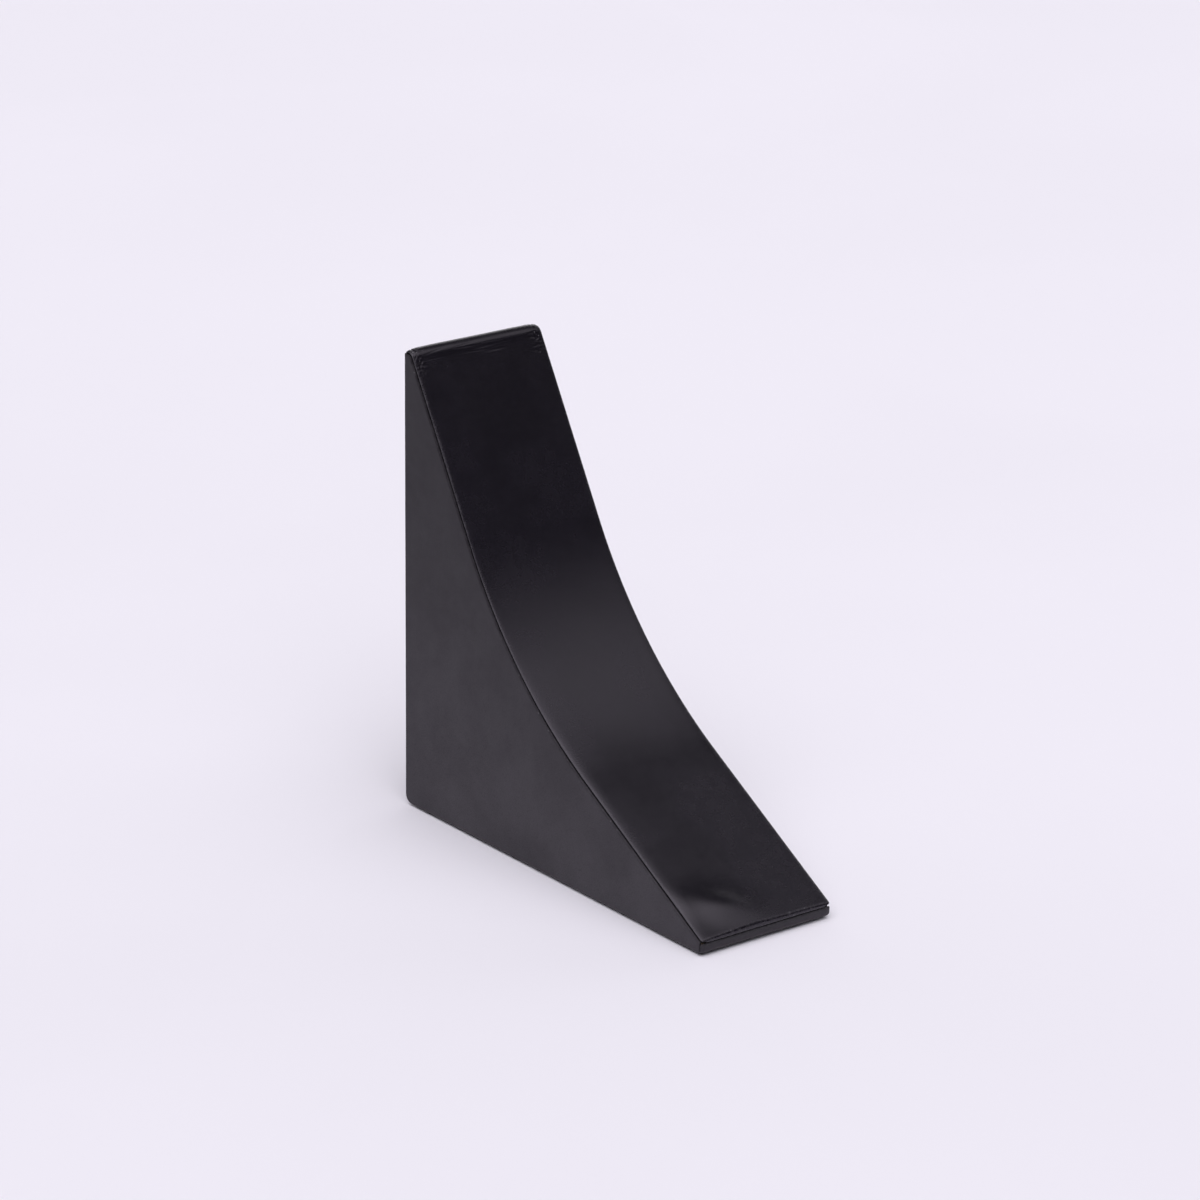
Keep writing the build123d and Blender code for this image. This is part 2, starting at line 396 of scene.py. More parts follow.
def leather_band(name, line, lengths, half_width, sizes, side_roll, end_rolls, lean, relief, worn):
    """A closed band of leather: a rounded cross-section carried along a line in the side plane.

    A row stands at one length along the line, on the line's outward normal. Across it, the outer face's
    height is middle + (leather - middle) * rise of the nearest side * rise of both ends + relief. The
    inner face falls from the same middle to a rebate along each side, and from there to 0. lean shifts
    a point along the line by its depth times lean, which makes an end upright. worn gives the scuffing.
    """
    leather = sizes.strip_leather
    middle, under = leather - sizes.edge_turn, 0.3 * leather
    rebate = leather - sizes.seam_depth
    edge_in = roll_steps(side_roll, 2.0, 17)
    centre = np.linspace(-1.0, 1.0, 36)[1:-1]
    outer_a = np.concatenate([-np.ones(17), centre, np.ones(17)])
    outer_b = np.concatenate([edge_in, -centre * side_roll, -edge_in[::-1]])
    inner_a, inner_b = outer_a[-2:0:-1], outer_b[-2:0:-1]

    total = lengths[-1]
    place, normal = read_line(line, lengths)
    from_ends = (lengths, total - lengths)
    outer_rise = roll_rise(from_ends[0], end_rolls[0], 3.0) * roll_rise(from_ends[1], end_rolls[1], 3.0)
    inner_rise = roll_rise(from_ends[0], under, 2.0) * roll_rise(from_ends[1], under, 2.0)
    width = half_width(lengths)[:, None]
    outer_x = outer_a * width + outer_b
    inner_x = inner_a * width + inner_b
    outer_side = roll_rise(width - np.abs(outer_x), side_roll, 2.0)
    inner_side = width - np.abs(inner_x)
    cut_back = rebate * (1.0 - smooth(inner_side, 0.9 * leather, 1.2 * leather))
    skived = cut_back + (middle - rebate) * (1.0 - roll_rise(inner_side, 0.2 * leather, 2.0))
    share_up = outer_side * outer_rise[:, None]
    outer_height = middle + (leather - middle) * share_up
    outer_height = outer_height + relief(lengths[:, None], outer_x, place) * share_up
    inner_height = middle - (middle - skived) * inner_rise[:, None]

    across = np.concatenate([outer_x, inner_x], axis=1)
    height = np.concatenate([outer_height, inner_height], axis=1)
    along = np.stack([normal[:, 1], -normal[:, 0]], axis=1)
    depth = leather - height
    shift = depth * lean(lengths)[:, None]
    plane = place[:, None] - normal[:, None] * depth[:, :, None] - along[:, None] * shift[:, :, None]
    points = np.concatenate([across[:, :, None], plane], axis=2)
    to_side = width - np.abs(across)
    edge = np.minimum(to_side, np.minimum(*from_ends)[:, None]) / MM
    edge[:, outer_x.shape[1] :] = 0.0
    return closed_object(name, points, across.shape[1], {EDGE: edge, WORN: worn(lengths[:, None], across)})


def in_space(across, where):
    """Points (X, Y, Z) of a band's rows, each row at its own (Y, Z)."""
    rows = [np.broadcast_to(where[:, k : k + 1], across.shape) for k in (0, 1)]
    return np.stack([across, *rows], axis=2)


def outline_reader(outline):
    """A function that gives points at some places along an outline, moved inwards by any inset."""
    known = {}

    def outline_at(inset, places):
        """The outline's points at some places along it."""
        if inset not in known:
            known[inset] = outline(inset)
        line_places, points, _, _ = known[inset]
        return np.stack([np.interp(places, line_places, points[:, k]) for k in (0, 1)], axis=1)

    return outline_at


def flat_panel(
    name, outline_at, centre, places, thickness, edge_height, roll, power, close_rings, outer_relief, to_space
):
    """A closed flat slab: rings of its outline about a centre, out over one face, round the edge and back.

    Near the edge a ring is the outline moved inwards. Further in, it is that ring drawn towards the
    centre: centre + share * (ring - centre). The outer face falls along a superellipse to the edge's
    height, and the inner face along a quarter circle.
    """
    middle, under = edge_height, 0.2 * thickness
    insets = roll_steps(roll, power, 14)[::-1]
    under_insets = roll_steps(under, 2.0, 6)[1:]
    rings, heights, edges = [], [], []
    for share_out in np.linspace(0.0, 1.0, close_rings)[:-1]:
        rings.append(centre + share_out * (outline_at(roll, places) - centre))
        heights.append(1.0)
        edges.append(roll + (1.0 - share_out) * 0.02)
    for inset in insets:
        rings.append(outline_at(inset, places))
        heights.append(float(roll_rise(inset, roll, power)))
        edges.append(inset)
    outer_count = len(rings)
    for inset in under_insets:
        rings.append(outline_at(inset, places))
        heights.append(-float(roll_rise(inset, under, 2.0)))
        edges.append(0.0)
    for share_out in np.linspace(1.0, 0.0, 8)[1:]:
        rings.append(centre + share_out * (outline_at(under, places) - centre))
        heights.append(-1.0)
        edges.append(0.0)
    rings = np.array(rings)
    rises = np.array(heights)[:, None]
    height = np.where(rises >= 0.0, middle + (thickness - middle) * rises, middle + middle * rises)
    height = np.repeat(height, rings.shape[1], axis=1)
    height[:outer_count] += outer_relief(rings[:outer_count]) * np.clip(rises[:outer_count], 0.0, 1.0)
    edge = np.repeat(np.array(edges)[:, None] / MM, rings.shape[1], axis=1)
    return closed_object(name, to_space(rings, height), rings.shape[1], {EDGE: edge})


def loop_area(points):
    """Area inside a closed loop of plane points, by the shoelace formula."""
    return 0.5 * abs(float(cross(points, np.roll(points, -1, axis=0)).sum()))


# ------------------------------------------------------------------ materials


def add(tree, kind, inputs=None, **settings):
    """Adds a node with some settings, and sets or links its inputs."""
    made = tree.nodes.new(kind)
    for key, value in settings.items():
        setattr(made, key, value)
    for key, value in (inputs or {}).items():
        if isinstance(value, bpy.types.NodeSocket):
            tree.links.new(value, made.inputs[key])
        else:
            made.inputs[key].default_value = value
    return made


def new_group(name, inputs, outputs):
    """An empty shader node group with float or vector inputs, and its input and output nodes."""
    group = bpy.data.node_groups.new(name, "ShaderNodeTree")
    for key, kind, default in inputs:
        socket = group.interface.new_socket(name=key, in_out="INPUT", socket_type=kind)
        if default is not None:
            socket.default_value = default
    for key, kind in outputs:
        group.interface.new_socket(name=key, in_out="OUTPUT", socket_type=kind)
    return group, group.nodes.new("NodeGroupInput"), group.nodes.new("NodeGroupOutput")


def maths(tree, operation, first, second=0.5, third=0.5):
    """Output of a Math node."""
    return add(tree, "ShaderNodeMath", {0: first, 1: second, 2: third}, operation=operation).outputs[0]


def remap(tree, value, low, high, to_low=0.0, to_high=1.0):
    """Output of a clamped, smooth Map Range node."""
    made = add(
        tree,
        "ShaderNodeMapRange",
        {"Value": value, "From Min": low, "From Max": high, "To Min": to_low, "To Max": to_high},
        interpolation_type="SMOOTHSTEP",
    )
    return made.outputs["Result"]


def mixed(tree, factor, first, second):
    """Output of a colour mix."""
    made = add(tree, "ShaderNodeMix", data_type="RGBA")
    for index, value in ((0, factor), (6, first), (7, second)):
        if isinstance(value, bpy.types.NodeSocket):
            tree.links.new(value, made.inputs[index])
        else:
            made.inputs[index].default_value = value
    return made.outputs[2]


def grain_group():
    """Leather grain: warped cells with soft valleys between them, and finer wrinkles on top."""
    group, given, result = new_group(
        "Leather Grain",
        [("Vector", "NodeSocketVector", None), ("Cells per Metre", "NodeSocketFloat", 2200.0)],
        [("Height", "NodeSocketFloat"), ("Valleys", "NodeSocketFloat")],
    )
    scale = given.outputs["Cells per Metre"]
    bend = add(
        group, "ShaderNodeTexNoise", {"Vector": given.outputs["Vector"], "Scale": scale, "Detail": 2.0}
    )
    offset = add(
        group, "ShaderNodeVectorMath", {0: bend.outputs["Color"], 1: (0.5, 0.5, 0.5)}, operation="SUBTRACT"
    )
    small = maths(group, "DIVIDE", 0.9, scale)
    sized = add(group, "ShaderNodeVectorMath", {0: offset.outputs[0], "Scale": small}, operation="SCALE")
    warped = add(
        group, "ShaderNodeVectorMath", {0: given.outputs["Vector"], 1: sized.outputs[0]}, operation="ADD"
    )
    cells = add(
        group,
        "ShaderNodeTexVoronoi",
        {"Vector": warped.outputs[0], "Scale": scale, "Randomness": 0.9},
        feature="DISTANCE_TO_EDGE",
    )
    domes = remap(group, cells.outputs["Distance"], 0.0, 0.32)
    finer = maths(group, "MULTIPLY", scale, 2.6)
    wrinkles = add(group, "ShaderNodeTexNoise", {"Vector": warped.outputs[0], "Scale": finer, "Detail": 3.0})
    height = maths(group, "MULTIPLY_ADD", wrinkles.outputs["Fac"], 0.45, domes)
    group.links.new(height, result.inputs["Height"])
    # Valleys: 1 between the cells, the mask for the shade painted into the grain's valleys.
    group.links.new(remap(group, cells.outputs["Distance"], 0.0, 0.10, 1.0, 0.0), result.inputs["Valleys"])
    return group


def mottle_group():
    """Slow blotches from 0 to 1 at two sizes, for handling marks and uneven finish."""
    group, given, result = new_group(
        "Mottle",
        [("Vector", "NodeSocketVector", None), ("Blotches per Metre", "NodeSocketFloat", 60.0)],
        [("Blotches", "NodeSocketFloat"), ("Fine", "NodeSocketFloat")],
    )
    scale = given.outputs["Blotches per Metre"]
    broad = add(
        group,
        "ShaderNodeTexNoise",
        {
            "Vector": given.outputs["Vector"],
            "Scale": scale,
            "Detail": 3.0,
            "Roughness": 0.5,
            "Distortion": 0.4,
        },
    )
    closer = maths(group, "MULTIPLY", scale, 7.0)
    fine = add(
        group, "ShaderNodeTexNoise", {"Vector": given.outputs["Vector"], "Scale": closer, "Detail": 4.0}
    )
    group.links.new(remap(group, broad.outputs["Fac"], 0.36, 0.64), result.inputs["Blotches"])
    group.links.new(remap(group, fine.outputs["Fac"], 0.35, 0.65), result.inputs["Fine"])
    return group


def wear_group():
    """Rubbed border: 1 at a cut edge, fading over a width and broken up by noise."""
    group, given, result = new_group(
        "Edge Wear",
        [
            ("Vector", "NodeSocketVector", None),
            ("Distance", "NodeSocketFloat", 10.0),
            ("Width", "NodeSocketFloat", 1.0),
            ("Patches per Metre", "NodeSocketFloat", 900.0),
        ],
        [("Mask", "NodeSocketFloat")],
    )
    near = add(
        group,
        "ShaderNodeMapRange",
        {
            "Value": given.outputs["Distance"],
            "From Min": 0.0,
            "From Max": given.outputs["Width"],
            "To Min": 1.0,
            "To Max": 0.0,
        },
        interpolation_type="SMOOTHERSTEP",
    )
    noise = add(
        group,
        "ShaderNodeTexNoise",
        {"Vector": given.outputs["Vector"], "Scale": given.outputs["Patches per Metre"], "Detail": 4.0},
    )
    broken = remap(group, noise.outputs["Fac"], 0.42, 0.66)
    group.links.new(maths(group, "MULTIPLY", near.outputs["Result"], broken), result.inputs["Mask"])
    return group


def speck_group():
    """Sparse round specks of dust: the cells of a Voronoi pattern whose random value is under the amount."""
    group, given, result = new_group(
        "Dust Specks",
        [
            ("Vector", "NodeSocketVector", None),
            ("Cells per Metre", "NodeSocketFloat", 900.0),
            ("Amount", "NodeSocketFloat", 0.02),
            ("Size", "NodeSocketFloat", 0.2),
        ],
        [("Mask", "NodeSocketFloat")],
    )
    cells = add(
        group,
        "ShaderNodeTexVoronoi",
        {"Vector": given.outputs["Vector"], "Scale": given.outputs["Cells per Metre"]},
        feature="F1",
    )
    chosen = maths(
        group, "LESS_THAN", add(group, "ShaderNodeSeparateColor", {0: cells.outputs["Color"]}).outputs[0],
        given.outputs["Amount"],
    )
    inside = add(
        group,
        "ShaderNodeMapRange",
        {
            "Value": cells.outputs["Distance"],
            "From Min": 0.0,
            "From Max": given.outputs["Size"],
            "To Min": 1.0,
            "To Max": 0.0,
        },
    )
    group.links.new(maths(group, "MULTIPLY", inside.outputs["Result"], chosen), result.inputs["Mask"])
    return group


SHARED_GROUPS = {
    "Leather Grain": grain_group,
    "Mottle": mottle_group,
    "Edge Wear": wear_group,
    "Dust Specks": speck_group,
}


def shared_node(tree, name, **inputs):
    """A node of a shared group, with its own values. The group is made the first time it is asked for."""
    made = tree.nodes.new("ShaderNodeGroup")
    made.node_tree = bpy.data.node_groups.get(name) or SHARED_GROUPS[name]()
    for key, value in inputs.items():
        socket = made.inputs[key.replace("_", " ")]
        if isinstance(value, bpy.types.NodeSocket):
            tree.links.new(value, socket)
        else:
            socket.default_value = value
    return made


def new_material(name):
    """A material with its Principled shader, and the piece's own object coordinates."""
    material = bpy.data.materials.new(name)
    material.use_nodes = True
    tree = material.node_tree
    tree.nodes.clear()
    shader = tree.nodes.new("ShaderNodeBsdfPrincipled")
    output = tree.nodes.new("ShaderNodeOutputMaterial")
    tree.links.new(shader.outputs["BSDF"], output.inputs["Surface"])
    coordinates = tree.nodes.new("ShaderNodeTexCoord").outputs["Object"]
    return material, tree, shader, coordinates


def set_bump(tree, shader, height, depth, strength):
    """Bends the shader's normal by a height pattern that is depth metres deep."""
    bump = add(tree, "ShaderNodeBump", {"Strength": strength, "Distance": depth, "Height": height})
    tree.links.new(bump.outputs["Normal"], shader.inputs["Normal"])


def leather_material(name, black, roughness, gloss, wear_width, colours, base_painted_light=None):
    """Black finished leather: fine grain with painted shade in its valleys, uneven gloss, a rubbed border and
    a few specks of dust.

    With a second black, the colour passes from that one at the base to the first one at the top: painted
    light, which makes the panels lighter towards the base.
    """
    material, tree, shader, own = new_material(name)
    grain = shared_node(tree, "Leather Grain", Vector=own, Cells_per_Metre=1.0 / colours.grain_pitch)
    mottle = shared_node(tree, "Mottle", Vector=own, Blotches_per_Metre=45.0)
    edge = add(tree, "ShaderNodeAttribute", attribute_name=EDGE).outputs["Fac"]
    wear = shared_node(tree, "Edge Wear", Vector=own, Distance=edge, Width=wear_width)
    edge_specks = shared_node(tree, "Dust Specks", Vector=own, Cells_per_Metre=1100.0, Amount=0.22, Size=0.3)
    specks = shared_node(tree, "Dust Specks", Vector=own, Cells_per_Metre=380.0, Amount=0.006, Size=0.10
    )
    tone = (*black, 1.0)
    # Painted light: the colour passes to a lighter black towards the base.
    if base_painted_light:
        up = add(tree, "ShaderNodeSeparateXYZ", {0: own}).outputs["Z"]
        tone = mixed(tree, remap(tree, up, -20.0 * MM, 95.0 * MM), (*base_painted_light, 1.0), tone)
    lively = mixed(
        tree, maths(tree, "MULTIPLY", mottle.outputs["Blotches"], 0.3), tone, (*(2.0 * c for c in black), 1.0)
    )
    # Painted shade: the grain's valleys are darkened in the colour.
    valley_painted_shade = maths(tree, "MULTIPLY", grain.outputs["Valleys"], 0.45)
    grained = mixed(tree, valley_painted_shade, lively, (0.0, 0.0, 0.0, 1.0))
    dusty = (*colours.dust, 1.0)
    rubbed = mixed(tree, maths(tree, "MULTIPLY", wear.outputs["Mask"], 0.05), grained, dusty)
    scuffed = add(tree, "ShaderNodeAttribute", attribute_name=WORN).outputs["Fac"]
    where = maths(tree, "MAXIMUM", wear.outputs["Mask"], maths(tree, "MULTIPLY", scuffed, 0.8))
    on_edge = maths(tree, "MULTIPLY", edge_specks.outputs["Mask"], where)
    dust = maths(
        tree,
        "ADD",
        maths(tree, "MULTIPLY", on_edge, 0.8),
        maths(tree, "MULTIPLY", specks.outputs["Mask"], 0.5),
    )
    tree.links.new(mixed(tree, dust, rubbed, dusty), shader.inputs["Base Color"])
    uneven = maths(tree, "MULTIPLY_ADD", mottle.outputs["Blotches"], 0.05, roughness - 0.03)
    uneven = maths(tree, "MULTIPLY_ADD", mottle.outputs["Fine"], 0.03, uneven)
    uneven = maths(tree, "MULTIPLY_ADD", wear.outputs["Mask"], 0.12, uneven)
    tree.links.new(uneven, shader.inputs["Roughness"])
    set_bump(tree, shader, grain.outputs["Height"], colours.grain_depth, 1.0)
    shader.inputs["Specular IOR Level"].default_value = gloss
    shader.inputs["Specular Tint"].default_value = (*colours.sheen_tint, 1.0)
    return material


def rubber_material(name):
    """Dull black rubber with a fine waffle and light chalking."""
    material, tree, shader, own = new_material(name)
    mottle = shared_node(tree, "Mottle", Vector=own, Blotches_per_Metre=80.0)
    chalk = mixed(tree, mottle.outputs["Fine"], (0.014, 0.014, 0.015, 1.0), (0.030, 0.030, 0.032, 1.0))
    tree.links.new(chalk, shader.inputs["Base Color"])
    tree.links.new(remap(tree, mottle.outputs["Blotches"], 0.0, 1.0, 0.7, 0.88), shader.inputs["Roughness"])
    ribs = [
        add(tree, "ShaderNodeTexWave", {"Vector": own, "Scale": 160.0}, bands_direction=axis).outputs["Fac"]
        for axis in ("X", "Y")
    ]
    waffle = maths(tree, "MULTIPLY", ribs[0], ribs[1])
    set_bump(tree, shader, waffle, 0.15 * MM, 1.0)
    return material


def fibre_material(name, light, dark, stretch, roughness, depth):
    """Pressed or sawn fibres: noise drawn out along one axis between two colours."""
    material, tree, shader, own = new_material(name)
    drawn = add(tree, "ShaderNodeMapping", {"Vector": own, "Scale": stretch})
    fibres = add(
        tree, "ShaderNodeTexNoise", {
            "Vector": drawn.outputs[0], "Scale": 900.0, "Detail": 6.0, "Distortion": 0.3
        }
    )
    mottle = shared_node(tree, "Mottle", Vector=own, Blotches_per_Metre=30.0)
    tone = remap(tree, fibres.outputs["Fac"], 0.3, 0.7)
    tone = maths(tree, "MULTIPLY_ADD", mottle.outputs["Blotches"], 0.35, maths(tree, "MULTIPLY", tone, 0.65))
    tree.links.new(mixed(tree, tone, (*dark, 1.0), (*light, 1.0)), shader.inputs["Base Color"])
    tree.links.new(
        remap(tree, fibres.outputs["Fac"], 0.2, 0.8, roughness, roughness + 0.12), shader.inputs["Roughness"]
    )
    set_bump(tree, shader, fibres.outputs["Fac"], depth, 0.6)
    return material


def plywood_material(name, light, dark):
    """Plywood: plies stacked across the door stop, with grain along every other one."""
    material, tree, shader, own = new_material(name)
    plies = add(
        tree, "ShaderNodeTexWave", {"Vector": own, "Scale": 230.0, "Distortion": 0.4}, bands_direction="X"
    )
    upright = add(tree, "ShaderNodeMapping", {"Vector": own, "Scale": (1.0, 1.0, 0.06)})
    level = add(tree, "ShaderNodeMapping", {"Vector": own, "Scale": (1.0, 0.06, 1.0)})
    grains = [
        add(
            tree, "ShaderNodeTexNoise", {"Vector": way.outputs[0], "Scale": 700.0, "Detail": 5.0}
        ).outputs["Fac"]
        for way in (upright, level)
    ]
    ply = remap(tree, plies.outputs["Fac"], 0.4, 0.6)
    one = mixed(tree, remap(tree, grains[0], 0.3, 0.7), (*dark, 1.0), (*light, 1.0))
    other = mixed(
        tree,
        remap(tree, grains[1], 0.3, 0.7),
        (*(0.7 * c for c in dark), 1.0),
        (*(0.8 * c for c in light), 1.0),
    )
    tree.links.new(mixed(tree, ply, other, one), shader.inputs["Base Color"])
    tree.links.new(remap(tree, grains[0], 0.2, 0.8, 0.5, 0.66), shader.inputs["Roughness"])
    set_bump(tree, shader, grains[0], 0.05 * MM, 0.5)
    return material


def steel_material(name):
    """Ground steel plate: fine scratches along its height and light oily blotches."""
    material, tree, shader, own = new_material(name)
    drawn = add(tree, "ShaderNodeMapping", {"Vector": own, "Scale": (1.0, 1.0, 0.03)})
    scratches = add(tree, "ShaderNodeTexNoise", {"Vector": drawn.outputs[0], "Scale": 2600.0, "Detail": 4.0})
    mottle = shared_node(tree, "Mottle", Vector=own, Blotches_per_Metre=50.0)
    tone = mixed(tree, scratches.outputs["Fac"], (0.34, 0.34, 0.35, 1.0), (0.56, 0.56, 0.57, 1.0))
    oiled = mixed(
        tree, maths(tree, "MULTIPLY", mottle.outputs["Blotches"], 0.3), tone, (0.27, 0.25, 0.23, 1.0)
    )
    tree.links.new(oiled, shader.inputs["Base Color"])
    tree.links.new(remap(tree, scratches.outputs["Fac"], 0.3, 0.7, 0.3, 0.46), shader.inputs["Roughness"])
    set_bump(tree, shader, scratches.outputs["Fac"], 0.02 * MM, 0.4)
    shader.inputs["Metallic"].default_value = 1.0
    return material


def foam_material(name):
    """Dark open-cell foam: small round cells whose holes are painted darker, as painted shade."""
    material, tree, shader, own = new_material(name)
    cells = add(tree, "ShaderNodeTexVoronoi", {"Vector": own, "Scale": 1600.0}, feature="F1")
    holes = remap(tree, cells.outputs["Distance"], 0.15, 0.6)
    # Painted shade: the cells' holes are darker in the colour.
    tree.links.new(
        mixed(tree, holes, (0.012, 0.012, 0.013, 1.0), (0.06, 0.06, 0.063, 1.0)), shader.inputs["Base Color"]
    )
    tree.links.new(remap(tree, cells.outputs["Distance"], 0.0, 1.0, 0.8, 0.95), shader.inputs["Roughness"])
    set_bump(tree, shader, holes, 0.1 * MM, 1.0)
    return material


def floor_material(name, colour_value):
    """Plain pale floor with a hardly visible unevenness."""
    material, tree, shader, own = new_material(name)
    mottle = shared_node(tree, "Mottle", Vector=own, Blotches_per_Metre=4.0)
    darker = (*(0.985 * c for c in colour_value), 1.0)
    tree.links.new(
        mixed(tree, mottle.outputs["Blotches"], (*colour_value, 1.0), darker), shader.inputs["Base Color"]
    )
    shader.inputs["Roughness"].default_value = 0.85
    shader.inputs["Specular IOR Level"].default_value = 0.15
    return material


def finish(piece, material, node):
    """Gives a new piece its material, hangs it under the root body and hides the frame's part that it
    replaces.
    """
    piece.data.materials.append(material)
    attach(piece, "root")
    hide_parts(node)


# ------------------------------------------------------------------ operators


class DOORSTOP_OT_cover_strip(bpy.types.Operator):
    """Leather strip from the toe up the ramp, over the top, down the back and under the heel"""

    bl_idname = "doorstop.cover_strip"
    bl_label = "Cover Strip"

    def execute(self, context):
        sizes, colours = context.scene.door_stop_cover, context.scene.door_stop_colours
        base, back, top, upper, lower, toe = cover_lines(sizes, 0.0)
        heel_end = (np.array([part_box("base_panel")[1].y + sizes.side_gap, 0.0]), np.array([0.0, 1.0]))
        line = rounded_line(
            [
                meet(toe, lower),
                meet(lower, upper),
                meet(upper, top),
                meet(top, back),
                meet(back, base),
                meet(base, heel_end),
            ],
            [0.0, sizes.ramp_radius, sizes.brow_radius, sizes.crest_radius, sizes.heel_radius, 0.0],
        )
        places, _, _, so_far = line
        crest = [float(np.interp(k, places, so_far)) for k in (6.0, 7.0)]
        brow = [float(np.interp(k, places, so_far)) for k in (4.0, 5.0)]
        heel = [float(np.interp(k, places, so_far)) for k in (8.0, 9.0)]
        total = so_far[-1]
        toe_steps = roll_steps(sizes.toe_roll, 3.0, 14)
        end_steps = roll_steps(END_ROLL, 3.0, 8)
        body = stations(
            total - sizes.toe_roll - END_ROLL,
            0.9 * MM,
            [
                (0.0, 6.0 * MM, 0.3 * MM),
                (brow[0] - sizes.toe_roll, 6.0 * MM, 0.2 * MM),
                (crest[0] - sizes.toe_roll, 3.0 * MM, 0.16 * MM),
                (0.5 * sum(heel) - sizes.toe_roll, 2.5 * MM, 0.25 * MM),
            ],
        )
        lengths = np.concatenate([toe_steps[:-1], sizes.toe_roll + body, total - end_steps[::-1][1:]])
        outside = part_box("cover_strip")[1].x - sizes.edge_inset
        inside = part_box("side_panel_right")[0].x - sizes.side_gap
        narrow_from = crest[0] + 0.45 * (crest[1] - crest[0])

        def half_width(along):
            """Full width to the crest, narrower between the side panels, and rounded in plan at the toe."""
            narrowed = outside + (inside - outside) * smooth(along, narrow_from, crest[1] + 0.6 * MM)
            corner = np.clip(sizes.toe_corner - along, 0.0, sizes.toe_corner)
            return narrowed - sizes.toe_corner + np.sqrt(sizes.toe_corner**2 - corner**2)

        def lean(along):
            """Upright end over the toe, perpendicular rows from 4 mm on."""
            return math.tan(sizes.lower_slope) * (1.0 - smooth(along, 0.0, 4.0 * MM))

        marks = {
            side: gathered_marks(seed, brow[0] - 1.0 * MM, -3.6 * MM, sizes.crease_depth, 9)
            + gathered_marks(seed + 1, crest[0], 1.5 * MM, sizes.crease_depth, 4)
            for side, seed in ((-1.0, 11), (1.0, 29))
        }

        random = np.random.default_rng(83)
        brow_marks = [
            (
                brow[0] + random.uniform(-2.2, 1.2) * MM, random.uniform(4.0, 34.0) * MM,
                random.normal(1.57, 0.05), random.uniform(3.0, 8.0) * MM, random.uniform(0.16, 0.3) * MM,
                random.uniform(0.03, 0.07) * MM,
            )
            for _ in range(12)
        ]

        def worn(along, across):
            """Scuffed at the top's two corners, to 4 mm in from the sides and 6.5 mm down the ramp."""
            down = smooth(along, brow[0] - 6.5 * MM, brow[0] - 3.0 * MM) * (
                1.0 - smooth(along, crest[0], crest[1])
            )
            return down * (1.0 - smooth(outside - np.abs(across), 1.5 * MM, 4.0 * MM))

        def relief(along, across, where):
            """Slow waves, creases along the brow and at its corners, and a low swelling before the toe."""
            space = in_space(across, where)
            total_relief = sizes.ripple * (
                0.7 * waves(space, 42.0 * MM, 3) + 0.3 * waves(space, 15.0 * MM, 4)
            )
            total_relief -= worn(along, across) * 0.05 * MM * np.abs(waves(space, 1.1 * MM, 5))
            total_relief -= sizes.side_fall * (1.0 - smooth(outside - np.abs(across), 0.0, 9.0 * MM))
            for side in (-1.0, 1.0):
                on_side = smooth(side * across, 6.0 * MM, 10.0 * MM)
                total_relief = total_relief + on_side * creases(along, outside - side * across, marks[side])
            total_relief = total_relief + creases(along, outside + across, brow_marks)
            skewed = along - SWELL_ALONG + SWELL_SKEW * (across - SWELL_ACROSS)
            beside = np.exp(-(((across - SWELL_ACROSS) / SWELL_WIDTH) ** 2))
            swell = np.exp(-((skewed / SWELL_LENGTH) ** 2)) * beside
            over_top = smooth(along, brow[0] - 1.5 * MM, brow[1]) * (
                1.0 - smooth(along, crest[0], crest[1] + 1.5 * MM)
            )
            return total_relief + sizes.toe_lift * swell + sizes.crest_lift * over_top

        piece = leather_band(
            "cover_strip_leather", line, lengths, half_width, sizes, sizes.strip_roll,
            (sizes.toe_roll, END_ROLL), lean, relief, worn,
        )
        material = leather_material(
            "Strip Leather", colours.strip_black, colours.strip_roughness, 0.5, 0.9, colours
        )
        finish(piece, material, "cover_strip")
        return {"FINISHED"}


